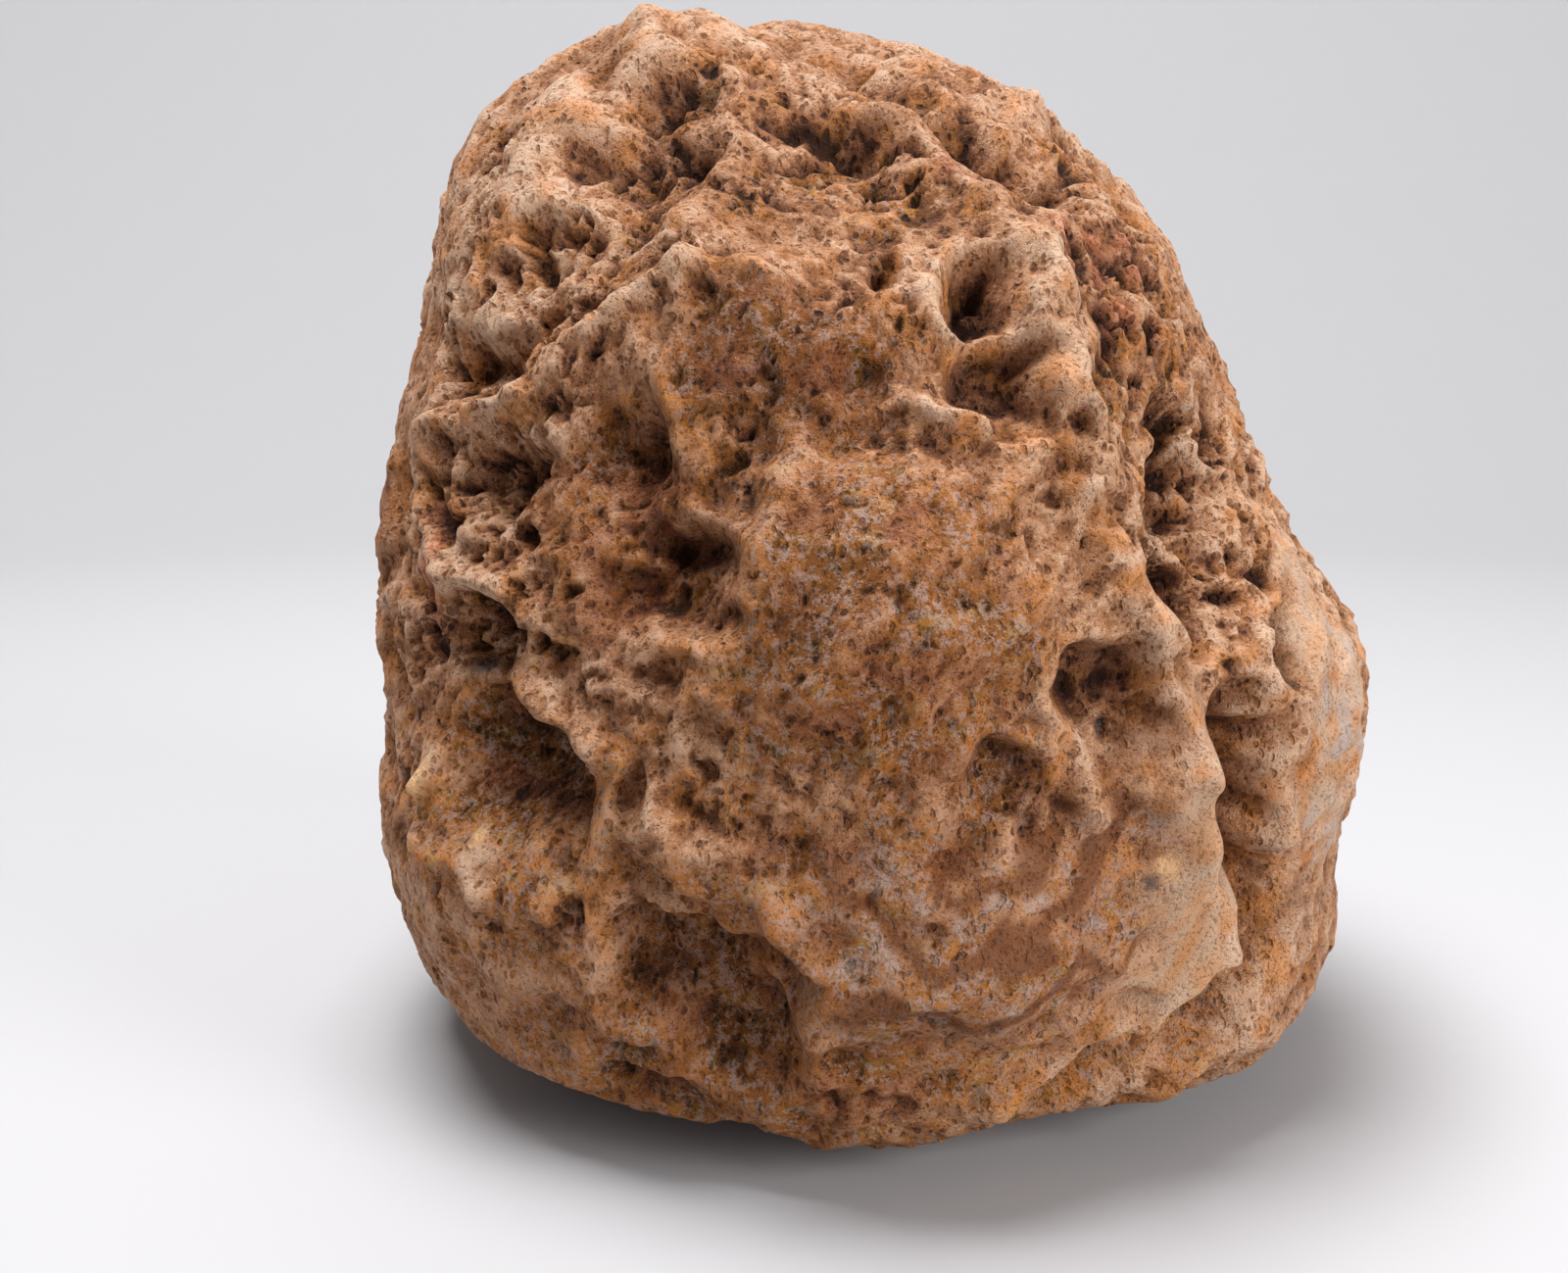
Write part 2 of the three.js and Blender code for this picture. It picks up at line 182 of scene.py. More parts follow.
def bare_radius(ways):
    """The radius in each direction, before any relief."""
    latitude = np.degrees(np.arcsin(np.clip(ways[:, 2], -1, 1)))
    level = np.hypot(ways[:, 0], ways[:, 1])
    upright = level < STRAIGHT_UP
    level = np.where(upright, 1.0, level)
    sideways = ways[:, 0] / level
    forward = np.where(upright, 1.0, -ways[:, 1] / level)
    right, left = follow(RIGHT_OUTLINE, latitude), follow(LEFT_OUTLINE, latitude)
    front, back = follow(FRONT_OUTLINE, latitude), follow(BACK_OUTLINE, latitude)
    side = np.where(sideways > 0, right, left)
    face = np.where(forward > 0, front, back)
    return 1 / np.hypot(sideways / side, forward / face)


bare = bare_radius(ways)
print("bare radius", bare.min().round(1), "to", bare.max().round(1), "mm")

# %% [markdown]
# ## Uneven ground
#
# Nothing on a stone is regular, so the landforms need a wandering field to bend them.
# Adding up plane waves of about one length that run in scattered directions gives one: it
# is smooth, has no seams and needs no picture. A small dice of whole numbers sets the
# directions, so each run gives the same stone. Waves taken without their sign are folded,
# and taken away from the stone the folds leave soft dips and sharp crests, as on worn stone.

# %% Waves
MEAN_RADIUS = 58.0
WAVE_COUNT = 14
DICE_STEP, DICE_SIDES = 16807, 2147483647


def make_dice(seed):
    """Numbers between 0 and 1 that come out the same on every run."""
    while True:
        seed = seed * DICE_STEP % DICE_SIDES
        yield seed / DICE_SIDES


def waves(points, step, seed):
    """A smooth wandering field about zero. Its lumps are half a step across."""
    dice = make_dice(seed)
    total = np.zeros(len(points))
    for _ in range(WAVE_COUNT):
        z = 2 * next(dice) - 1
        turn = 2 * math.pi * next(dice)
        level = math.sqrt(1 - z * z)
        pace = 2 * math.pi / (step * (0.75 + 0.6 * next(dice)))
        phase = 2 * math.pi * next(dice)
        way = np.array((level * math.cos(turn), level * math.sin(turn), z))
        total += np.sin(points @ way * pace + phase)
    return total / math.sqrt(WAVE_COUNT)


ground = ways * MEAN_RADIUS
stray_east = 1.3 * waves(ground, step=16, seed=11) + 0.9 * waves(ground, step=7, seed=37)
stray_north = 1.3 * waves(ground, step=16, seed=23) + 0.9 * waves(ground, step=7, seed=41)
rolling = 0.7 * waves(ground, step=30, seed=5)
wide_folds = np.abs(waves(ground, step=13, seed=71))
narrow_folds = np.abs(waves(ground, step=6, seed=83))
creased = 0.9 * wide_folds + 0.5 * narrow_folds - 0.6
print("outlines stray by up to", np.abs(stray_east).max().round(1), "mm")

# %% [markdown]
# ## Places on the stone
#
# Each landform has a place: its longitude, where 0 is the front, 90 the right, 180 the back
# and -90 the left, and its latitude above the core. Near a place the curved surface is
# treated as a flat map with an east and a north, where an oval is easy to draw.

# %% Maps about a place
SAME_SIDE = 0.2


def direction_of(longitude, latitude):
    lon, lat = math.radians(longitude), math.radians(latitude)
    level = math.cos(lat)
    return np.array((math.sin(lon) * level, -math.cos(lon) * level, math.sin(lat)))


def oval_map(ways, place, half_width, half_height, stray=1.0):
    """East and north of a place in half widths, and which directions are on its side."""
    longitude, latitude = place
    up = direction_of(longitude, latitude)
    lon = math.radians(longitude)
    east = np.array((math.cos(lon), math.sin(lon), 0.0))
    north = np.cross(up, east)
    x = (ways @ east * MEAN_RADIUS + stray_east * stray) / half_width
    y = (ways @ north * MEAN_RADIUS + stray_north * stray) / half_height
    return x, y, ways @ up > SAME_SIDE


print("longitude 90, latitude 0 points to", direction_of(90, 0).round(1))

# %% [markdown]
# ## Lobes and broad sinks
#
# The first landforms are soft mounds and dips a centimetre or two across, each a bell curve
# over an oval. They make the crown, the brow, the big nose, the chin and the smooth right
# lobe, and they sink the ground between them, which is what the eye reads first.

# %% Swells
SWELL_FALL = 1.1
SWELLS = (
    # longitude, latitude, half width, half height, rise
    # the front: crown, brow, nose, chin, cheek and the smooth right lobe
    (-62, 66, 11.5, 9.5, 7), (-140, 76, 12, 10, 5.5), (-12, 33, 9, 7.5, 3.6), (-1, 6, 12, 15, 6.6),
    (4, -25, 15, 9, 5), (-50, -24, 8, 9, 2.8), (-52, -13.5, 1.9, 2, 2.4), (-36, -37, 10, 6, 1.8),
    (-4, -45, 12, 7, 2.6), (40, -52, 9, 6, -3.4), (-38, -54, 8, 6, -2.4), (54, -10, 8, 18, 2),
    (31, -19, 3, 7, 2.4), (42, 46, 8, 12, 1.4), (-16, 79, 7, 5, -1.6), (-6, 24, 9, 4, -1.4),
    (70, 66, 8, 5, -1.4), (24, -51, 8, 5, -2),
    (28, -15, 4.4, 6.5, 2.2), (-47, 0, 8, 9, -3.4), (-37, -10, 9, 7, -2.8), (34, 14, 6, 15, -3.6),
    (-43, 39, 9, 9, -3.4), (28, 58, 9, 5, -2.8), (0, 51, 10, 5, -1.6), (-18, -24, 10, 9, -2.4),
    (-21, 10, 8, 8, -2.2), (-28, 21, 6, 7, -1.6), (37, -20, 6, 10, -1.8),
    # the sides and the back
    (125, 34, 12, 9, 4), (165, -20, 14, 10, 4.4), (-120, 8, 9, 14, 4), (-150, 40, 11, 8, 4),
    (108, -30, 10, 9, 3.2), (145, 2, 9, 10, -4.2), (-172, 20, 9, 9, -4), (-112, -32, 10, 8, 1.2),
    (92, 14, 9, 12, -2.6), (-92, 22, 9, 10, -2.6), (-142, -14, 8, 10, -4), (95, 50, 9, 8, 2.8),
)


def add_swells(ways):
    total = np.zeros(len(ways))
    for longitude, latitude, half_width, half_height, rise in SWELLS:
        place = (longitude, latitude)
        x, y, near = oval_map(ways, place, half_width, half_height, stray=0.6)
        total += near * rise * np.exp(-SWELL_FALL * (x**2 + y**2))
    return total


swells = add_swells(ways)
print(len(SWELLS), "swells, from", swells.min().round(1), "to", swells.max().round(1), "mm")

# %% [markdown]
# ## Ridges and gullies
#
# Water wears a stone along lines as well as in spots. A ridge is a line of places with a
# bell-shaped bank over it, and a gully is the same line sunk. Two long ridges frame the
# nose, and the gully under the chin lets its edge overhang the lobe behind it.

# %% Lines
RIDGES = (
    # half width, height, and the places along the line
    # from the crown across the top and down the right of the nose
    (3.2, 2.8, ((-62, 72), (-38, 71), (-12, 68), (7, 62), (15, 52), (18, 45), (19.5, 37),
      (20.5, 29), (22, 21), (23.5, 13), (25.5, 3), (27.5, -4), (29, -11))),
    # from the brow out to the left, then back under the nose to the chin
    (2.4, 3, ((-14, 37), (-25, 38), (-34, 31), (-41, 26), (-52, 23), (-60, 19), (-59, 12),
      (-51, 7), (-43, 5), (-38, -1), (-34, -6), (-27, -11), (-20, -17), (-12, -20), (-8, -23))),
    (2.4, 1.4, ((-8, -23), (-6, -30), (-6, -36))),
    # around the brow and the nose
    (1.8, 1.6, ((-24, 43), (-25, 37), (-24, 29), (-24, 22))),
    (1.5, 1.3, ((-6, 25.5), (2, 26.5), (8, 24.5), (14, 23.5))),
    (1.8, 1.6, ((-10, 20), (-11, 14), (-13, 7), (-17, 0))),
    (1.5, 1.6, ((14, -3.5), (18, -7.5), (20, -13))),
    # the right flank, the chin's overhanging edge, the cheek and the top
    (2.2, 1.6, ((48, 12), (44, 6), (41, 0), (42, -8), (45, -18))),
    (2.2, 2.4, ((31, -13), (35, -20), (37, -25), (35, -29), (32, -32), (25, -34), (20, -37),
      (14, -41))),
    (1.8, 1.8, ((-54, -13), (-51, -19), (-46, -21), (-40, -25))),
    (2, 1.5, ((-44, 58), (-34, 52), (-28, 46))),
    (1.4, 1.4, ((-22, 54), (-18, 60), (-8, 63), (2, 63))),
    # the back
    (3, 2.8, ((60, 70), (95, 60), (112, 45), (118, 28), (112, 12), (118, -5), (128, -15),
      (122, -32))),
    (3, 2.8, ((-100, 62), (-118, 50), (-140, 46), (-155, 38), (-150, 22), (-140, 5),
      (-148, -12), (-150, -35))),
    (2.6, 2.4, ((150, 55), (158, 40), (150, 25), (160, 12), (165, -2), (158, -15))),
    (2.2, 2, ((118, 28), (135, 25), (150, 25))),
    (2.4, 2.2, ((-140, 5), (-120, 2), (-105, -2), (-95, -12), (-98, -30))),
)

GULLIES = (
    # under the chin's right edge, then back below it
    (3.2, 6, ((36, -13), (40, -19), (43, -25), (41, -30), (38, -34), (30, -36), (24, -39),
      (19, -43))),
    (2.2, 2.4, ((-30, -38), (-23, -40), (-17, -43))),
    (2.2, 1.8, ((-55, 57), (-45, 60), (-38, 62))),
    (2.4, 1.8, ((-6, 78), (10, 72), (24, 66))),
    # the back
    (2.2, 3, ((126, 14), (131, 4), (128, -6))),
    (2.2, 3.2, ((-162, 2), (-158, -8), (-163, -18))),
)

strayed = ground + 0.5 * np.stack((stray_east, stray_north, stray_east - stray_north), -1)


def away_from_line(points, places):
    """How far each point lies from a line of places, in millimetres."""
    nearest = np.full(len(points), np.inf)
    stops = [direction_of(*place) * MEAN_RADIUS for place in places]
    for start, end in zip(stops, stops[1:]):
        run = end - start
        share = np.clip((points - start) @ run / (run @ run), 0, 1)
        gap = np.linalg.norm(points - start - share[:, None] * run, axis=1)
        nearest = np.minimum(nearest, gap)
    return nearest


def bank(points, half_width, places):
    """1 along a line of places, and 0 well away from it."""
    return np.exp(-((away_from_line(points, places) / half_width) ** 2))


def add_lines(points):
    total = np.zeros(len(points))
    for half_width, height, places in RIDGES:
        total += height * bank(points, half_width, places)
    for half_width, depth, places in GULLIES:
        total -= depth * bank(points, half_width, places)
    return total


lines = add_lines(strayed)
print(len(RIDGES), "ridges and", len(GULLIES), "gullies")

# %% [markdown]
# ## Hollows
#
# The stone's most telling feature is its deep hollows, left where softer mineral has gone.
# Each falls steeply from its upper edge, so it holds a shadow, and runs out gently below,
# and a low lip stands around it. Where two overlap they share one floor: the cubes of
# their depths are added and the cube root taken, which keeps a worn edge between them.

# %% Carve the hollows
HOLLOWS = (
    # longitude, latitude, half width, half height, depth
    # upper left
    (-41, 51, 9.5, 9.5, 5.9), (-66, 60, 6, 6, 2.8), (-71, 57, 4.5, 5, 2.2),
    (-53, 28, 8.2, 6.2, 3.8), (-45, 33, 3.2, 2.8, 2.6), (-50, 41, 5.4, 4.8, 3.1),
    (-36, 35, 3.2, 2.8, 2.7),
    # left of the nose
    (-44, 16, 6.8, 6.4, 5.6), (-39.5, 10.5, 2.4, 2, 1.8), (-29, 21, 5.4, 6.8, 3.5),
    (-20, 10, 7.4, 5.2, 4.3), (-26.5, 6.5, 4.8, 3.2, 3), (-16, 4.5, 3.6, 2.6, 2.4),
    (-20, -1, 4.4, 2.4, 1.6), (-45, 0, 6.4, 6.6, 4.1), (-39.5, -13.5, 8.2, 6.8, 4.8),
    (-26, -13, 2.4, 3.2, 2.8), (-70, 10, 5, 9, 2.4), (-66, -4, 3, 5, 1.8),
    # under and right of the nose
    (-20, -28, 6.6, 5.4, 4.8), (-15, -33, 6.2, 5, 4.1), (-10, -27, 3, 4, 2.6),
    (-27, -36, 3.8, 1.8, 1.4), (9.5, -9.5, 6, 3.6, 3.6), (8, -14, 2.6, 2.2, 1.6),
    (12.5, -13.5, 1.8, 1.8, 1.6), (5, -16, 1.8, 1.6, 1.2), (20, -3.5, 5.4, 6.2, 4.8),
    (23, -8, 4, 3, 2.6),
    # the right flank
    (39.5, 25, 4.6, 4, 4), (37, 17.5, 6.4, 6.6, 5.4), (39, 10, 3, 2.6, 2.4),
    (31, 3, 4.6, 6.8, 4.1), (28.5, -2, 1.8, 2, 1.4), (51, 16, 4, 4.4, 2.4),
    (46, 22, 2.6, 3, 1.8), (37.5, -10, 6.4, 6.6, 5), (40, -17, 4.6, 4, 4),
    (45, -1, 3, 4.8, 3.2), (36, -34, 5, 3.4, 3.5), (26, -31, 3.4, 1.7, 1.2),
    # the brow and the top
    (12, 36, 4.8, 5.4, 4.7), (13, 28, 5.6, 4, 4.6), (20, 24, 2.2, 2.1, 1.6),
    (0, 41, 2.1, 3, 2.2), (6, 30, 2.7, 2.7, 1.2), (-4, 28.5, 3.4, 3, 1.6),
    (19, 63, 5.6, 5.2, 3.8), (35, 54, 6.4, 4.8, 3.7), (25, 56, 2.1, 2.1, 2),
    (5, 75, 3.4, 3.4, 2.4), (-12, 57, 7, 6.8, 3),
    # the right side and the back
    (95, 34, 9.5, 6, 4.4), (80, 38, 5, 5.5, 2.8), (86, -6, 6.5, 4.4, 2.8),
    (104, 14, 6.5, 9.5, 4.6), (97, 5, 4.4, 4, 2.4), (102, -18, 7.5, 5, 3.4),
    (138, 44, 11, 6.5, 4.7), (127, 26, 4.8, 3.2, 2), (141, 10, 6, 9, 4.4), (148, 1, 5, 4, 2.8),
    (134, -20, 9.5, 6, 4.4), (124, -27, 5.5, 4, 2.6), (172, 32, 8, 9.5, 4.6),
    (164, 24, 5, 4, 2.4), (178, -4, 10, 6, 4.2), (-176, 4, 5, 5.5, 2.8), (160, 54, 5, 3.2, 2),
    (160, -36, 7.5, 4, 2.6), (118, 62, 7.5, 4.6, 3), (-168, 64, 7, 4.6, 3),
    (118, -4, 4.4, 3.2, 2), (88, 17, 3, 5, 2),
    # the left side
    (-166, 50, 7.5, 4.6, 3), (-156, 10, 6.5, 9, 4.4), (-150, -2, 5, 4, 2.6),
    (-160, -26, 10, 5.5, 4.2), (-132, 28, 10, 7, 4.8), (-121, 21, 5, 6, 3.2),
    (-127, -10, 6, 9, 4.2), (-138, -32, 7.5, 4, 2.8), (-105, 18, 6.5, 9, 4.2),
    (-112, 27, 4.8, 4, 2.6), (-104, -20, 8, 5.5, 3.6), (-99, 44, 9, 5, 3.6),
    (-86, -30, 6, 4, 2.2), (-120, 62, 7.5, 4.4, 3), (-116, 4, 4.4, 3, 1.8),
    (-88, 2, 4, 6.5, 2.4), (-170, -12, 4.4, 2.8, 1.8),
)

HOLLOW_EDGE = 1.15
WALL_RUN, WALL_TILT = 0.9, 0.33
LIP_PLACE, LIP_RUN, LIP_SHARE = 1.3, 0.25, 0.14
SMALL_HOLLOW = 5.0
HOLLOW_MIDDLE = 0.05


def smooth(value):
    """Ease from 0 to 1, and stay flat beyond them."""
    t = np.clip(value, 0, 1)
    return t * t * (3 - 2 * t)


def carve_hollows(ways):
    """The depth of the ground, and the lip that stands around it."""
    cubes, lip = np.zeros(len(ways)), np.zeros(len(ways))
    for longitude, latitude, half_width, half_height, depth in HOLLOWS:
        stray = min(1.0, min(half_width, half_height) / SMALL_HOLLOW)
        place = (longitude, latitude)
        x, y, near = oval_map(ways, place, half_width, half_height, stray)
        away = np.hypot(x, y)
        upward = np.where(away > HOLLOW_MIDDLE, y / np.maximum(away, HOLLOW_MIDDLE), 0.0)
        wall = WALL_RUN - WALL_TILT * upward
        cubes += near * (depth * smooth((HOLLOW_EDGE - away) / wall)) ** 3
        lip_bank = np.exp(-(((away - LIP_PLACE) / LIP_RUN) ** 2))
        lip = np.maximum(lip, near * LIP_SHARE * depth * lip_bank)
    return np.cbrt(cubes), lip


sunk, lip = carve_hollows(ways)
coarse = bare + rolling - creased + swells + lines - sunk + lip * np.exp(-sunk)
print(len(HOLLOWS), "hollows, the deepest", sunk.max().round(1), "mm")

# %% [markdown]
# ## A scatter of cells
#
# Under the big forms the rind is eaten into a honeycomb. A field of cells makes it: space is
# cut into boxes, each box gets one centre at a place of its own, and a point belongs to the
# nearest centre. Where two centres are equally near there is a wall, and around a centre
# there is a pit. Each box's numbers are stirred out of its whole-number address, so nothing
# has to be kept and nothing is random from one run to the next. The points are bent first,
# so the walls run crooked, and squeezed in height, so the pits end up taller than wide.

# %% Cells
STIR_X, STIR_Y, STIR_Z, STIR_SALT = 374761393, 668265263, 1440662683, 1274126177
WORD = 0xFFFFFFFF
FAR_OFF = 9.0


def stir(cells, salt):
    """A number between 0 and 1 for each whole-number address."""
    x, y, z = (cells[:, i].astype(np.int64) for i in range(3))
    mixed = (x * STIR_X + y * STIR_Y + z * STIR_Z + salt * STIR_SALT) & WORD
    mixed = ((mixed ^ (mixed >> 13)) * STIR_SALT) & WORD
    mixed = ((mixed ^ (mixed >> 16)) * STIR_Y) & WORD
    return (mixed ^ (mixed >> 15)) / (WORD + 1)


def cells_at(points, size, salt):
    """Distances to the two nearest centres, in cells, and a number for the nearest one."""
    spots = points / size
    home = np.floor(spots).astype(np.int64)
    first, second = np.full(len(points), FAR_OFF), np.full(len(points), FAR_OFF)
    mark = np.zeros(len(points))
    for step in np.ndindex(3, 3, 3):
        cell = home + np.array(step) - 1
        centre = cell + np.stack([stir(cell, salt + i) for i in range(3)], -1)
        gap = np.linalg.norm(spots - centre, axis=1)
        closer = gap < first
        second = np.where(closer, first, np.minimum(second, gap))
        mark = np.where(closer, stir(cell, salt + 3), mark)
        first = np.where(closer, gap, first)
    return first, second, mark


WOBBLE_STEP, WOBBLE_REACH = 6, 0.9
RIPPLE_STEP, RIPPLE_REACH = 2.6, 0.35
SQUEEZE = np.array((1.0, 1.0, 0.7))

surface = ways * coarse[:, None]
wobble = np.stack([waves(surface, WOBBLE_STEP, seed) for seed in (101, 103, 107)], -1)
ripple = np.stack([waves(surface, RIPPLE_STEP, seed) for seed in (109, 113, 127)], -1)
bent = (surface + WOBBLE_REACH * wobble + RIPPLE_REACH * ripple) * SQUEEZE
print("cells are bent by up to", (WOBBLE_REACH * np.abs(wobble)).max().round(1), "mm")

# %% [markdown]
# ## Where the honeycomb is
#
# The pits aren't the same all over. They are deep on the shoulders and the flanks, faint on
# the rubbed nose, brow and chin, and gone on the waxy lobes where bare chalcedony shows. The
# zones could be painted by hand, but a soft oval has a place and a size that can be checked
# and moved. Slow waves add patches that no oval would.

# %% Zones
ZONE_EDGE = 1.55
ZONE_STRAY = 1.6

# longitude, latitude, half width, half height
PITTED = (
    (-52, 35, 14, 16), (0, 62, 30, 10), (35, 45, 12, 14), (42, 16, 11, 16), (-48, 5, 12, 14),
    (115, 20, 14, 16), (165, 30, 16, 12), (-140, 10, 16, 14), (-100, 32, 12, 12),
)
RUBBED = (
    (-2, 3, 11, 16), (-12, 30, 9, 7), (4, -27, 18, 11), (-45, -32, 12, 9), (120, -32, 20, 9),
    (-115, -30, 20, 9), (140, -6, 8, 12), (-168, 18, 8, 14), (-80, 14, 7, 16), (180, 66, 14, 9),
)
WAXY = ((56, -8, 9, 18), (30, -14, 4.5, 9), (31, -26, 6, 8), (152, -28, 9, 9))


def zone(places, stray=ZONE_STRAY):
    """1 inside a few soft ovals and 0 outside them."""
    total = np.zeros(len(ways))
    for longitude, latitude, half_width, half_height in places:
        x, y, near = oval_map(ways, (longitude, latitude), half_width, half_height, stray)
        total = np.maximum(total, near * smooth(ZONE_EDGE - np.hypot(x, y)))
    return total


pitted = zone(PITTED)
rubbed = zone(RUBBED)
waxy = zone(WAXY, stray=1.2)
patchy = 0.5 + 0.5 * np.clip(waves(surface, step=15, seed=131), -1, 1)
for title, share in (("pitted", pitted), ("rubbed", rubbed), ("waxy", waxy)):
    print(title, "over", share.mean().round(2), "of the points")

# %% [markdown]
# ## Worn crests
#
# Whatever stands out is rubbed smooth, so the pits fade on the crests. A sculptor finds a
# crest by eye. Here the form is compared with a softened copy of itself, in which each point
# has taken on its neighbours' average many times over: where the form stands above that
# copy, it has a crest.

# %% Find the crests
CREST_ROUNDS = 60
CREST_START, CREST_RISE = 0.1, 1.3

edge_from = np.concatenate([faces[:, i] for i in range(4)])
edge_to = np.concatenate([faces[:, (i + 1) % 4] for i in range(4)])
neighbours = np.bincount(edge_from, minlength=len(ways))


def soften(values, rounds):
    """Average each value with its neighbours, round after round."""
    for _ in range(rounds):
        total = np.bincount(edge_from, values[edge_to], minlength=len(values))
        values = (values + total) / (1 + neighbours)
    return values


worn = smooth((coarse - soften(coarse, CREST_ROUNDS)) / CREST_RISE - CREST_START)
print("worn crests cover", (worn > 0.5).mean().round(2), "of the rind")

# %% [markdown]
# ## Pits, pores and crumbs
#
# Each pit is a grain that has fallen out, so the pits touch and only walls stand between
# them. On a wall the two nearest centres are equally near, and away from it their distances
# part, so the difference gives both the walls and the floors. Two sizes of pit lie over each
# other, and each cell's own number makes some deep and others almost closed. Single pores
# dot even the rubbed places, and crumbs cover the floors of the hollows. All of it is real
# relief and not a trick of shading, so it roughens the stone's edge too.

# %% Honeycomb
WALL_TOP = 0.06
PORE_SHARE, PORE_EDGE, PORE_WIDTH = 0.62, 1.2, 0.4


def honeycomb(size, salt, wall, shallow):
    """Pits that fill their cells: 0 on the walls, 1 on the floor of the deepest."""
    first, second, mark = cells_at(bent, size, salt)
    return smooth((second - first - WALL_TOP) / wall) * (shallow + (1 - shallow) * mark)


def round_pores(size, salt):
    """A round hole at the centre of some of the cells."""
    first, _, mark = cells_at(bent, size, salt)
    return (mark > PORE_SHARE) * smooth(PORE_EDGE - first / PORE_WIDTH)


wide_pits = honeycomb(size=4.2, salt=11, wall=0.42, shallow=0.15)
small_pits = honeycomb(size=2.5, salt=29, wall=0.4, shallow=0.0)
crumb_cells = honeycomb(size=3.1, salt=61, wall=0.7, shallow=0.1)
pores = round_pores(size=1.7, salt=47)
print("pores take up", (pores > 0.5).mean().round(3), "of the points")

# %% [markdown]
# ## The relief together
#
# The zones decide how deep the honeycomb is cut. Cutting lowers the ground, so the pitted
# zones are first raised by about as much as their pits take away, and the stone keeps the
# size of its plain form.

# %% Cut the relief
WIDE_DEPTH, SMALL_DEPTH, CRUMB_DEPTH = 1.1, 1.5, 0.8
CRUMBLY_FROM = 4
RAISED = 0.6

strength = (0.45 + 0.75 * pitted + 0.3 * patchy) * (1 - 0.8 * rubbed) * (1 - 0.95 * waxy)
strength *= 1 - 0.7 * worn
pore_depth = (0.4 + 0.4 * rubbed) * (1 - waxy)
pits = strength * (WIDE_DEPTH * wide_pits + SMALL_DEPTH * small_pits) + pore_depth * pores
crumbs = smooth(sunk / CRUMBLY_FROM) * (1 - waxy) * CRUMB_DEPTH * crumb_cells
radius = coarse - pits - crumbs + RAISED * strength
print("pits up to", pits.max().round(2), "mm deep, crumbs up to", crumbs.max().round(2))

# %% [markdown]
# ## The rind as a mesh
#
# Each direction goes out to its radius, and what would reach below the ground is pressed
# onto it, as the solid's own foot is. The points are centred as the solid is, and become
# metres only here. The solid stays in the frame for its weight and its collisions, so this
# piece replaces it.

# %% Build the rind
CORE_HEIGHT = 54.0


def make_rind(radius):
    points = ways * radius[:, None]
    points[:, 2] = np.maximum(points[:, 2] + CORE_HEIGHT, 0.0)
    solid = ways * coarse[:, None]
    middle = (solid.min(0) + solid.max(0)) / 2
    points[:, :2] -= middle[:2]
    mesh = bpy.data.meshes.new("rind")
    mesh.from_pydata((points * MM).tolist(), [], faces.tolist())
    mesh.shade_smooth()
    rind = bpy.data.objects.new("rind", mesh)
    bpy.context.collection.objects.link(rind)
    return rind


rind = make_rind(radius)
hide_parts("geode")
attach(rind, "root")
print("the rind measures", [round(side / MM, 1) for side in rind.dimensions])

# %% [markdown]
# ## Maps of the form
#
# Colour on a stone follows its form: crests are rubbed pale, and pits and hollows keep dark
# dust. The same maps also paint light and shade: the material darkens pits and hollows as
# painted shade and lightens crests as painted highlight, beyond what dust and wear give. So
# the forms are stored on the mesh as plain numbers, one for each point, and the material
# reads them by name. Fine and broad crests are found as the worn ones were, with few rounds
# of softening and with many.

# %% Store the form
FINE_ROUNDS, BROAD_ROUNDS = 6, 70
FINE_RISE, BROAD_RISE = 0.8, 3.5
DEEP_PIT, DEEP_HOLLOW = 1.6, 6
# hollow floors made darker still: partly dark deposit, partly painted shade
DARK_FLOORS = (
    (40, 22, 7, 8), (42, -16, 6, 14), (13, 32, 6, 8), (10, -9, 5, 4), (-22, 9, 5, 4),
    (22, -5, 6, 6), (30, 3, 4, 6), (36, -34, 5, 3),
)


def store(name, values):
    attribute = rind.data.attributes.new(name, "FLOAT", "POINT")
    attribute.data.foreach_set("value", values.astype(np.float32))
    print(name.ljust(8), values.min().round(2), "to", values.max().round(2))


fine_crest = radius - soften(radius, FINE_ROUNDS)
broad_crest = radius - soften(radius, BROAD_ROUNDS)
store("sunk", smooth(sunk / DEEP_HOLLOW) * (0.5 + 0.7 * zone(DARK_FLOORS)))
store("pit", np.clip((pits + crumbs) / DEEP_PIT, 0, 1))
store("fine", np.clip(0.5 + fine_crest / FINE_RISE, 0, 1))
store("broad", np.clip(0.5 + broad_crest / BROAD_RISE, 0, 1))

# %% [markdown]
# ## Where the stains lie
#
# Iron has soaked the nose, the brow, the chin and the foot of the stone, and rust reddens
# the edges of a few hollows. Some flanks are simply darker or paler than the rest. Each
# stain has its ovals, and clouds break it into patches, because a stain with an oval's own
# outline would look painted on.

# %% Store the stains
OCHRE = (
    (-2, 3, 14, 18), (-12, 30, 10, 8), (2, -24, 20, 12), (-44, 50, 3, 7), (-2, 53, 9, 3),
    (-42, -18, 12, 12), (24, -44, 20, 8), (-20, -40, 20, 10), (-30, 20, 4, 5), (28, 28, 2, 6),
    (110, -25, 20, 16), (170, -10, 22, 16), (-110, -20, 20, 14), (140, 40, 10, 10),
)
RUST = (
    (27, 38, 3.5, 6), (33, 44, 5, 5), (20, 60, 4, 4), (-55, 8, 3, 4), (-28, -2, 4, 3),
    (130, 20, 5, 6), (-125, 0, 5, 5), (-95, 55, 5, 4),
)
BROW = (-12, 30, 10, 8)
CHIN = (2, -24, 20, 12)
BROWNED = (
    (-2, 6, 12, 15), BROW, (-28, 12, 9, 12), (-20, -38, 18, 9), (-40, -12, 6, 8),
    (140, -8, 14, 14), (-130, -24, 16, 10), (-85, 10, 9, 14),
)
SHADED = ((4, 60, 26, 12), (34, 38, 8, 12))
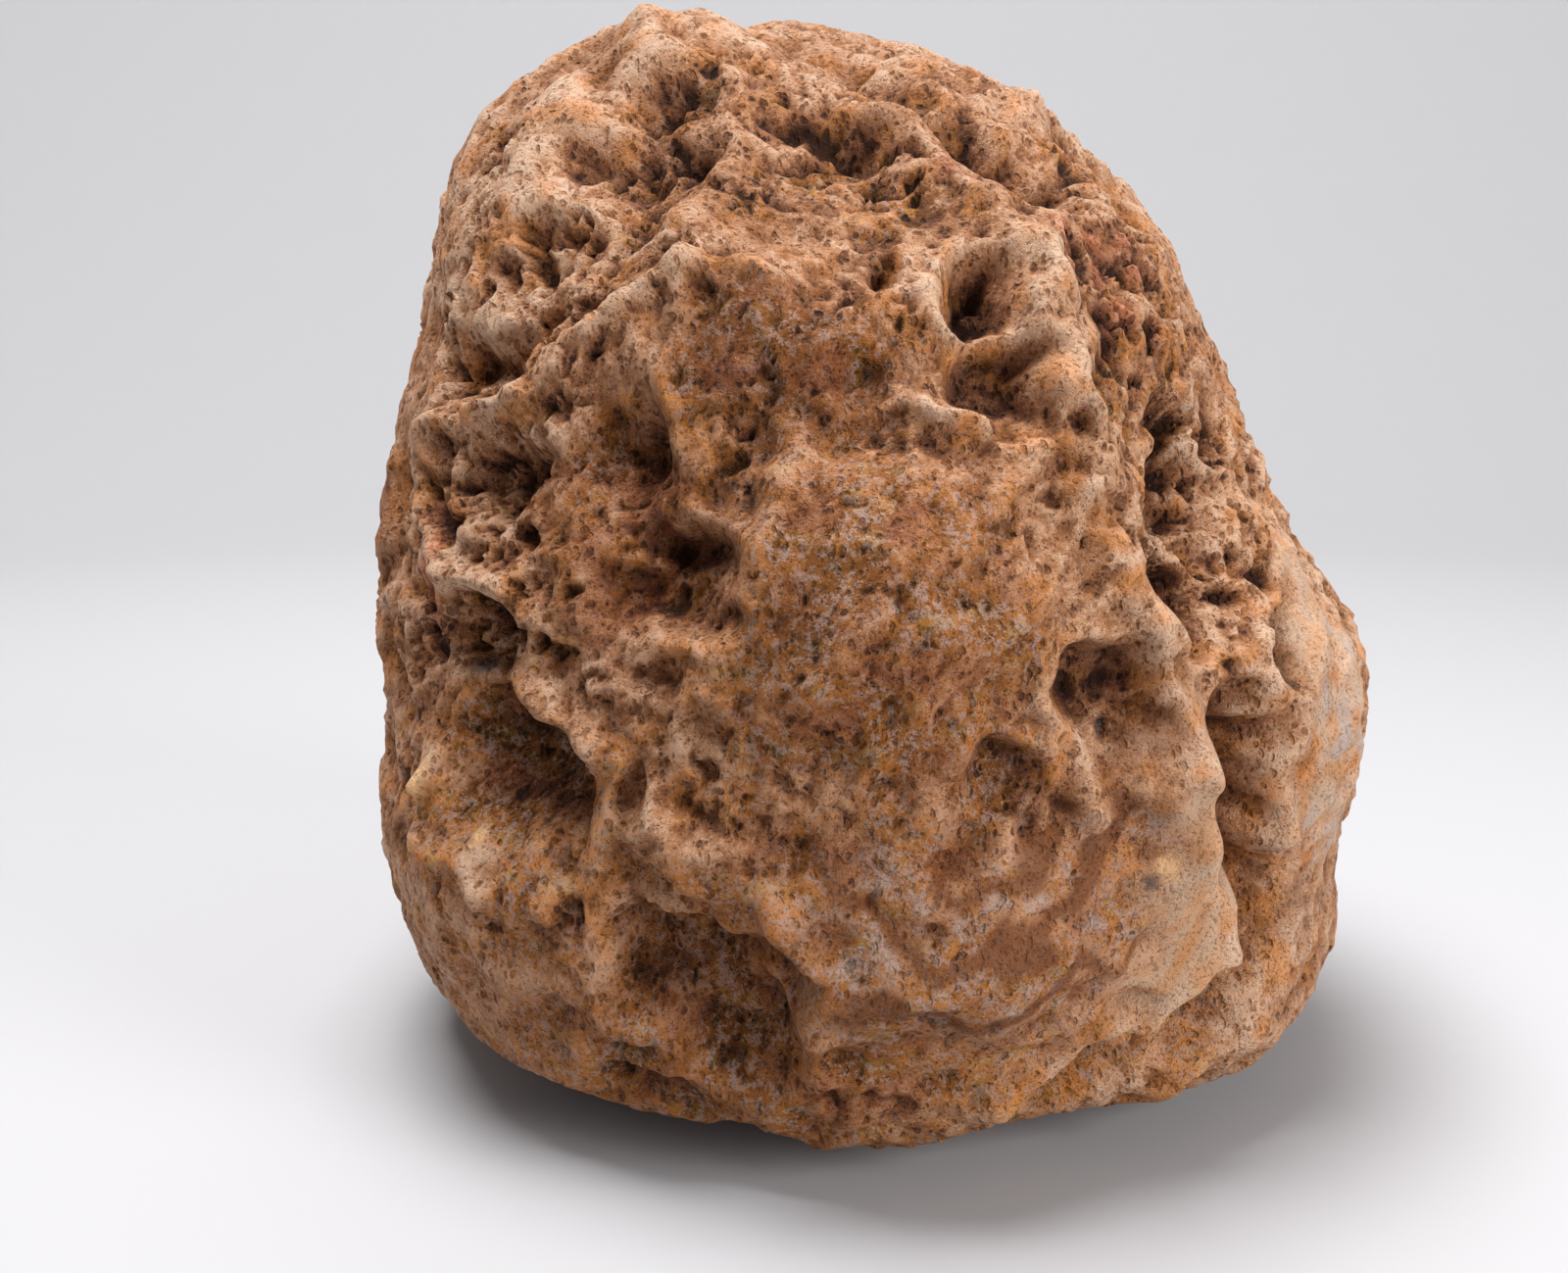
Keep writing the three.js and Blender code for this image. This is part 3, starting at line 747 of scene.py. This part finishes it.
PALED = (
    (30, -24, 8, 9), (-56, 40, 12, 14), (-40, -36, 8, 6), (60, 0, 10, 20), (100, 40, 14, 12),
    (-150, 38, 14, 12), (-100, -4, 9, 9),
)


def clouds(step, seed, low, high):
    """Soft-edged patches about half a step across, and nothing between them."""
    return smooth((waves(surface, step, seed) - low) / (high - low))


browned = zone(BROWNED) + zone((BROW,)) + zone(SHADED)
store("tone", 0.5 * waves(surface, step=9, seed=137) + browned - zone(PALED))
store("iron", zone((*BROWNED, CHIN)))
store("ochre", zone(OCHRE, stray=2.2) * clouds(step=8, seed=139, low=-0.9, high=0.3))
store("gold", clouds(step=3, seed=149, low=0.5, high=1.2))
store("scorched", clouds(step=5.5, seed=151, low=0.1, high=1.0))
store("rust", zone(RUST, stray=2.0) * clouds(step=4, seed=157, low=-0.4, high=0.5))
pore_patches = clouds(step=2.4, seed=181, low=-0.6, high=0.6) + 0.4 * pitted
store("clumps", np.clip(pore_patches, 0, 1) * (1 - waxy))

# %% [markdown]
# ## Where bare chalcedony lies
#
# Chalcedony grows in thin layers, so where it is bare it shows bands. They could be drawn
# one by one, but rings about one place on the chin, bent by waves, lie as the layers do.
# The same rings, fewer and broken up, run over the chin itself as dark bands with a pale
# crust between them. Three golden nubs, whose pale gold is partly painted highlight, and two
# flints are so small that each has an oval of its own.

# %% Store the chalcedony
RING_MIDDLE, RING_WIDTH, RING_HEIGHT = (8, -9), 10.0, 8.0
RING_BEND = 6
RING_EDGE = 0.3
RINGED = ((8, -23, 14, 10), (18, -17, 7, 7))
AGATE = ((58, -8, 8, 17), (150, -30, 8, 8))
NUBS = ((27.4, -18, 0.9, 0.9), (-52, -13.5, 0.8, 1.7), (-44, -18.5, 0.6, 0.6))
FLINTS = ((-47, -3.5, 1.8, 0.8), (26, -19.5, 0.7, 0.6))
SPOT_STRAY = 0.3


def rings(count, sway, seed):
    """Bands that lie in arcs about a place on the chin, as banded chalcedony grows."""
    x, y, _ = oval_map(ways, RING_MIDDLE, RING_WIDTH, RING_HEIGHT)
    turns = count * np.hypot(x, y) * 2 * math.pi
    return 0.5 + 0.5 * np.sin(turns + sway * waves(surface, RING_BEND, seed))


store("waxy", waxy * clouds(step=8, seed=139, low=-1.0, high=0.2))
store("banded", rings(count=2.2, sway=1.6, seed=163))
store("agate", zone(AGATE) * clouds(step=5, seed=167, low=-0.3, high=0.8))
arcs = rings(count=1.35, sway=1.3, seed=173)
dark_arcs = smooth((arcs - 0.5) / RING_EDGE) * clouds(step=7, seed=179, low=-1.6, high=-0.8)
store("ringed", zone(RINGED) * dark_arcs)
store("crusted", zone(RINGED) * smooth((0.5 - arcs) / RING_EDGE))
store("nub", zone(NUBS, stray=SPOT_STRAY))
store("flint", zone(FLINTS, stray=SPOT_STRAY))

# %% [markdown]
# ## Adding nodes to the rind's material
#
# A material can be wired by hand in the node editor. Written down, it can be read from top
# to bottom and built again, and a small helper keeps that short: it adds a node, sets its
# options, and feeds its inputs with numbers or with other nodes. Another one reads a stored
# map.

# %% Node helpers
rind_material = bpy.data.materials.new("chalcedony_rind")
rind_material.use_nodes = True
tree = rind_material.node_tree
shader = tree.nodes["Principled BSDF"]
position = tree.nodes.new("ShaderNodeTexCoord").outputs["Object"]


def put(kind, feeds, **options):
    """Add a node, set its options, and feed its inputs with numbers or with other nodes."""
    node = tree.nodes.new(kind)
    for name, value in options.items():
        setattr(node, name, value)
    for name, value in feeds.items():
        if isinstance(value, bpy.types.NodeSocket):
            tree.links.new(value, node.inputs[name])
        else:
            node.inputs[name].default_value = value
    return node


def stored(name):
    return put("ShaderNodeAttribute", {}, attribute_name=name).outputs["Fac"]


print("the material starts with", len(tree.nodes), "nodes")

# %% [markdown]
# ## Numbers before colours
#
# Most of what makes a rind light or dark can be worked out as one grey number, before any
# colour is chosen. These helpers make such fields: noise with lumps of a size given in
# millimetres, so each can be checked against a ruler, a soft step between two levels, and
# a sum in which each field has its own middle and its own weight.

# %% Field helpers
def noise(lump, detail, rough):
    """A cloudy field with lumps of about this many millimetres."""
    feeds = {"Vector": position, "Scale": 1 / (lump * MM), "Detail": detail, "Roughness": rough}
    return put("ShaderNodeTexNoise", feeds).outputs["Fac"]


def between(value, low, high):
    """0 below low, 1 above high, and smooth from one to the other."""
    feeds = {"Value": value, "From Min": low, "From Max": high}
    return put("ShaderNodeMapRange", feeds, interpolation_type="SMOOTHSTEP").outputs[0]


def times(a, b):
    return put("ShaderNodeMath", {0: a, 1: b}, operation="MULTIPLY").outputs[0]


def plus(a, b):
    return put("ShaderNodeMath", {0: a, 1: b}, operation="ADD").outputs[0]


def gather(total, fields):
    """Add up fields, each measured from its own middle and with its own weight."""
    for field, middle, weight in fields:
        total = plus(total, times(plus(field, -middle), weight))
    return total


grainy = noise(lump=0.4, detail=3.0, rough=0.8)
crumbly = noise(lump=2.2, detail=4.0, rough=0.75)
print(len(tree.nodes), "nodes so far")

# %% [markdown]
# ## Pores and specks
#
# Between the pits the rind has pores a millimetre across, which are too small for the mesh.
# A field of cells gives them, pushed about by noise and drawn out upwards, because round
# and even ones would look drilled. The finest grain is cut off at two levels, into dark
# specks and pale glints.

# %% Pores and specks
PORE_SIZE = 0.9
SWAY_LUMP, SWAY_REACH = 1.4, 0.9
DRAWN_OUT = (1.0, 1.0, 0.62)


def sway():
    """Three cloudy fields about zero, to push a pattern sideways."""
    feeds = {"Vector": position, "Scale": 1 / (SWAY_LUMP * MM), "Detail": 0.0}
    cloud = put("ShaderNodeTexNoise", feeds).outputs["Color"]
    centred = put("ShaderNodeVectorMath", {0: cloud, 1: (0.5, 0.5, 0.5)}, operation="SUBTRACT")
    feeds = {0: centred.outputs[0], "Scale": SWAY_REACH * MM}
    return put("ShaderNodeVectorMath", feeds, operation="SCALE").outputs[0]


swayed = put("ShaderNodeVectorMath", {0: position, 1: sway()}, operation="ADD").outputs[0]
drawn = put("ShaderNodeVectorMath", {0: swayed, 1: DRAWN_OUT}, operation="MULTIPLY").outputs[0]
cell_feeds = {"Vector": drawn, "Scale": 1 / (PORE_SIZE * MM)}
pore_cells = put("ShaderNodeTexVoronoi", cell_feeds, feature="F1").outputs["Distance"]
pore = times(between(pore_cells, 0.44, 0.22), stored("clumps"))
speck = between(grainy, 0.43, 0.37)
glint = between(grainy, 0.57, 0.63)
print("pores of about", PORE_SIZE, "mm, pushed", SWAY_REACH / 2, "mm at most")

# %% [markdown]
# ## The rind's colour
#
# Dark, dry brown lies in the pits and the hollows, and a rubbed pinkish tan on the crests.
# Part of that dark is painted shade in the pits and hollows, and part of that pale is
# painted highlight on the crests.
# All that darkens or lightens a spot is added up to one shade, and a row of five colours
# turns that shade into brown. Five separate layers could do the same, but they would drift
# apart, while one row keeps the whole rind in one family of browns.

# %% Light and dark of the rind
DEEP_BROWN = (0.036, 0.013, 0.007)
PIT_BROWN = (0.13, 0.048, 0.021)
BROWN = (0.26, 0.1, 0.037)
TAN = (0.42, 0.203, 0.097)
PALE_CREST = (0.6, 0.382, 0.248)
MIDDLE_SHADE = 0.51


def ramp(value, colours):
    """Evenly spaced colours, from a value of 0 to a value of 1."""
    node = put("ShaderNodeValToRGB", {"Fac": value})
    stops = node.color_ramp.elements
    for _ in colours[2:]:
        stops.new(0.5)
    for i, stop in enumerate(stops):
        stop.position, stop.color = i / (len(colours) - 1), (*colours[i], 1.0)
    return node.outputs[0]


# darker in the hollows: partly dust, partly painted shade
hollow_dust_and_shade = between(stored("sunk"), 0.2, 1.2)
shade = gather(MIDDLE_SHADE, (
    # the field, its middle and its weight: above 0 it darkens
    # pits darken partly as dust and partly as painted shade
    (stored("pit"), 0.35, 0.62),
    (pore, 0.1, 0.3),
    (speck, 0.15, 0.48),
    (glint, 0.15, -0.34),
    (grainy, 0.5, 1.0),
    (crumbly, 0.5, 1.0),
    (stored("tone"), 0.0, 0.14),
    (hollow_dust_and_shade, 0.0, 0.34),
    # crests lighten and broad hollows darken: partly wear, partly painted highlight and painted
    # shade
    (stored("fine"), 0.5, -0.15),
    (stored("broad"), 0.5, -0.25),
))
colour = ramp(shade, (PALE_CREST, TAN, BROWN, PIT_BROWN, DEEP_BROWN))
print(len(tree.nodes), "nodes after the rind's own colour")

# %% [markdown]
# ## Iron stains
#
# The colours from here on are glazes, each laid over the last through a mask. Iron browns
# the nose, the brow and the chin, tints them ochre and, in spots, gold, and scorches small
# patches anywhere. A stain must not hide the stone's light and dark: the brown is multiplied
# in, and the tints are laid with "COLOR", which changes hue and strength of colour alone.

# %% Stain with iron
OCHRE_SKIN = (0.44, 0.15, 0.022)
GOLD = (0.56, 0.255, 0.04)
IRON_BROWN = (0.72, 0.56, 0.41)


def over(under, colour, mask, way="MIX"):
    """Lay a colour over another through a mask."""
    node = tree.nodes.new("ShaderNodeMix")
    node.data_type, node.blend_type = "RGBA", way
    mask_socket, under_socket, colour_socket = (node.inputs[i] for i in (0, 6, 7))
    for socket, value in ((mask_socket, mask), (under_socket, under), (colour_socket, colour)):
        if isinstance(value, bpy.types.NodeSocket):
            tree.links.new(value, socket)
        else:
            socket.default_value = value if isinstance(value, float) else (*value, 1.0)
    return node.outputs[2]


colour = over(colour, IRON_BROWN, stored("iron"), "MULTIPLY")
colour = over(colour, OCHRE_SKIN, times(stored("scorched"), 0.7), "COLOR")
stain = over(OCHRE_SKIN, GOLD, stored("gold"))
stained = times(times(stored("ochre"), between(hollow_dust_and_shade, 0.8, 0.1)), 0.8)
colour = over(colour, stain, stained, "COLOR")
print(len(tree.nodes), "nodes after the iron")

# %% [markdown]
# ## Bare flecks, crust, rust, and dust with painted top light
#
# Small flecks are worn through to grey-mauve stone, most of all on the ochre skin. A pale
# crust clings between the bands on the chin, and a few flanks are rusty. A pale dust settles
# last, on what faces up, so its mask reads which way the surface points: it is partly dust
# and partly painted light from above, which makes upward faces paler.

# %% Flecks, crust, rust, dust and painted top light
MAUVE = (0.38, 0.275, 0.235)
CRUST = (0.46, 0.34, 0.28)
RUST_RED = (0.4, 0.11, 0.05)
DUST_AND_TOP_LIGHT = (0.6, 0.42, 0.31)

fleck = between(noise(lump=1.0, detail=4.0, rough=0.8), 0.5, 0.56)
worn_through = times(fleck, between(shade, 0.95, 0.4))
worn_share = plus(times(stored("ochre"), 0.45), 0.15)
colour = over(colour, MAUVE, times(worn_through, worn_share))
crust = times(times(stored("crusted"), between(crumbly, 0.46, 0.6)), 0.6)
colour = over(colour, CRUST, crust)
colour = over(colour, RUST_RED, times(stored("rust"), 0.6), "COLOR")

normal = put("ShaderNodeNewGeometry", {}).outputs["Normal"]
facing = put("ShaderNodeSeparateXYZ", {0: normal})
# upward faces and crests made paler: partly dust, partly painted light from above
dust_and_top_light = times(between(facing.outputs["Z"], 0.0, 0.9), between(shade, 0.45, 0.05))
colour = over(colour, DUST_AND_TOP_LIGHT, times(dust_and_top_light, 0.25))
print(len(tree.nodes), "nodes after the dust")

# %% [markdown]
# ## Waxy chalcedony
#
# Where the rind has worn away, smooth chalcedony shows: cream and honey in thin bands, and
# grey on the agate lobe. Its bands were stored with the maps, so this step only colours
# them. The dark bands, the golden nubs, whose gold is partly painted highlight, and the
# flints go on last, over everything else.

# %% Bands
CREAM = (0.5, 0.36, 0.25)
HONEY = (0.5, 0.24, 0.1)
WAX_GREY = (0.42, 0.37, 0.34)
DARK_BAND = (0.16, 0.055, 0.02)
NUB_GOLD_AND_HIGHLIGHT = (0.85, 0.52, 0.25)
FLINT = (0.05, 0.04, 0.04)

wax = over(HONEY, CREAM, stored("banded"))
wax = over(wax, WAX_GREY, stored("agate"))
for laid, name, cover in (
    (wax, "waxy", 0.6),
    (DARK_BAND, "ringed", 0.85),
    # the nubs' pale gold is partly the stone's colour and partly a painted highlight
    (NUB_GOLD_AND_HIGHLIGHT, "nub", 0.7),
    (FLINT, "flint", 0.8),
):
    colour = over(colour, laid, times(stored(name), cover))
    print("laid over the rind:", name)
tree.links.new(colour, shader.inputs["Base Color"])

# %% [markdown]
# ## Sheen and the finest grain
#
# Crests are polished by handling, while pits and hollows stay dry and dull, so roughness
# follows the same shade as the colour. Pores and grain under a millimetre are finer than
# the mesh, and bump gives them: it tilts the light on a surface that stays where it is.

# %% Roughness and bump
POLISHED, DULL = 0.5, 0.85
BUMP_REACH = 0.9

sheen_feeds = {
    "Value": shade, "From Min": 0.1, "From Max": 0.7, "To Min": POLISHED, "To Max": DULL,
}
sheen = put("ShaderNodeMapRange", sheen_feeds).outputs[0]
tree.links.new(sheen, shader.inputs["Roughness"])
shader.inputs["IOR"].default_value = 1.5
shader.inputs["Specular IOR Level"].default_value = 0.18

height = gather(0.0, ((pore, 0.0, -0.5), (speck, 0.0, -0.28), (grainy, 0.0, 0.5)))
bump = put("ShaderNodeBump", {"Height": height, "Strength": 1.0, "Distance": BUMP_REACH * MM})
tree.links.new(bump.outputs[0], shader.inputs["Normal"])
rind.data.materials.append(rind_material)
print(len(tree.nodes), "nodes in", rind_material.name)

# %% [markdown]
# ## Floor and backdrop
#
# The stone stands on a sweep of pale grey paper: a round floor that curves up into a wall.
# A flat floor and a separate wall would be simpler, but their corner would draw a line
# behind the stone. A section of points, turned about the upright axis, makes the sweep.

# %% Sweep
FLOOR_RADIUS = 0.5
SWEEP_RADIUS = 0.45
WALL_HEIGHT = 1.4
CURVE_STEPS = 12
ROUND_STEPS = 96
PAPER_GREY = (0.44, 0.436, 0.448, 1.0)


def sweep_section():
    """Distance from the axis and height: the floor's edge, the curve and the wall's top."""
    section = [(FLOOR_RADIUS, 0.0)]
    for step in range(1, CURVE_STEPS + 1):
        turn = math.pi / 2 * step / CURVE_STEPS
        out = FLOOR_RADIUS + SWEEP_RADIUS * math.sin(turn)
        section.append((out, SWEEP_RADIUS * (1 - math.cos(turn))))
    section.append((FLOOR_RADIUS + SWEEP_RADIUS, WALL_HEIGHT))
    return section


def make_sweep():
    section = sweep_section()
    turns = np.linspace(0, 2 * math.pi, ROUND_STEPS, endpoint=False)
    points = [(r * math.cos(t), r * math.sin(t), z) for r, z in section for t in turns]
    floor = tuple(range(ROUND_STEPS))
    quads = []
    for low in range(0, (len(section) - 1) * ROUND_STEPS, ROUND_STEPS):
        high = low + ROUND_STEPS
        for a in range(ROUND_STEPS):
            b = (a + 1) % ROUND_STEPS
            quads.append((low + a, high + a, high + b, low + b))
    mesh = bpy.data.meshes.new("sweep")
    mesh.from_pydata(points, [], [floor] + quads)
    mesh.flip_normals()
    mesh.shade_smooth()
    sweep = bpy.data.objects.new("sweep", mesh)
    bpy.context.collection.objects.link(sweep)
    return sweep


def make_paper():
    paper = bpy.data.materials.new("pale_paper")
    paper.use_nodes = True
    look = paper.node_tree.nodes["Principled BSDF"]
    look.inputs["Base Color"].default_value = PAPER_GREY
    look.inputs["Roughness"].default_value = 0.9
    return paper


sweep = make_sweep()
sweep.data.materials.append(make_paper())
print("the floor is", 2 * FLOOR_RADIUS, "m across")

# %% [markdown]
# ## Light
#
# The key is a large soft lamp, high and a little to the left, so every hollow keeps a shadow
# under its upper edge. A weaker one lifts the right flank, and a third brightens the wall
# behind. Hard, small lamps would sharpen the pits but turn the whole rind harsh. The pale
# room fills the shadows, and the "Standard" view shows the colours as they were mixed.

# %% Lamps
LAMPS = (
    # name, place, aim, size across in metres, power in watts
    ("key", (-0.12, -0.04, 0.74), (0, 0, 0.06), 0.46, 8.4),
    ("right", (0.5, -0.4, 0.25), (0, 0, 0.04), 0.35, 4.1),
    ("wall", (0, 0.4, 0.9), (0, 0.95, 0.45), 0.4, 4.2),
)
ROOM_COLOUR = (1.0, 0.995, 1.0, 1.0)
ROOM_STRENGTH = 0.4


def hang_lamp(name, place, aim, size, power):
    data = bpy.data.lights.new(name, "AREA")
    data.shape, data.size, data.energy = "DISK", size, power
    lamp = bpy.data.objects.new(name, data)
    lamp.location = place
    lamp.rotation_euler = (Vector(aim) - Vector(place)).to_track_quat("-Z", "Y").to_euler()
    bpy.context.collection.objects.link(lamp)
    print(name, "lamp,", power, "W")


for lamp in LAMPS:
    hang_lamp(*lamp)
room = bpy.data.worlds.new("room")
bpy.context.scene.world = room
room.use_nodes = True
air = room.node_tree.nodes["Background"]
air.inputs["Color"].default_value = ROOM_COLOUR
air.inputs["Strength"].default_value = ROOM_STRENGTH
bpy.context.scene.view_settings.view_transform = "Standard"
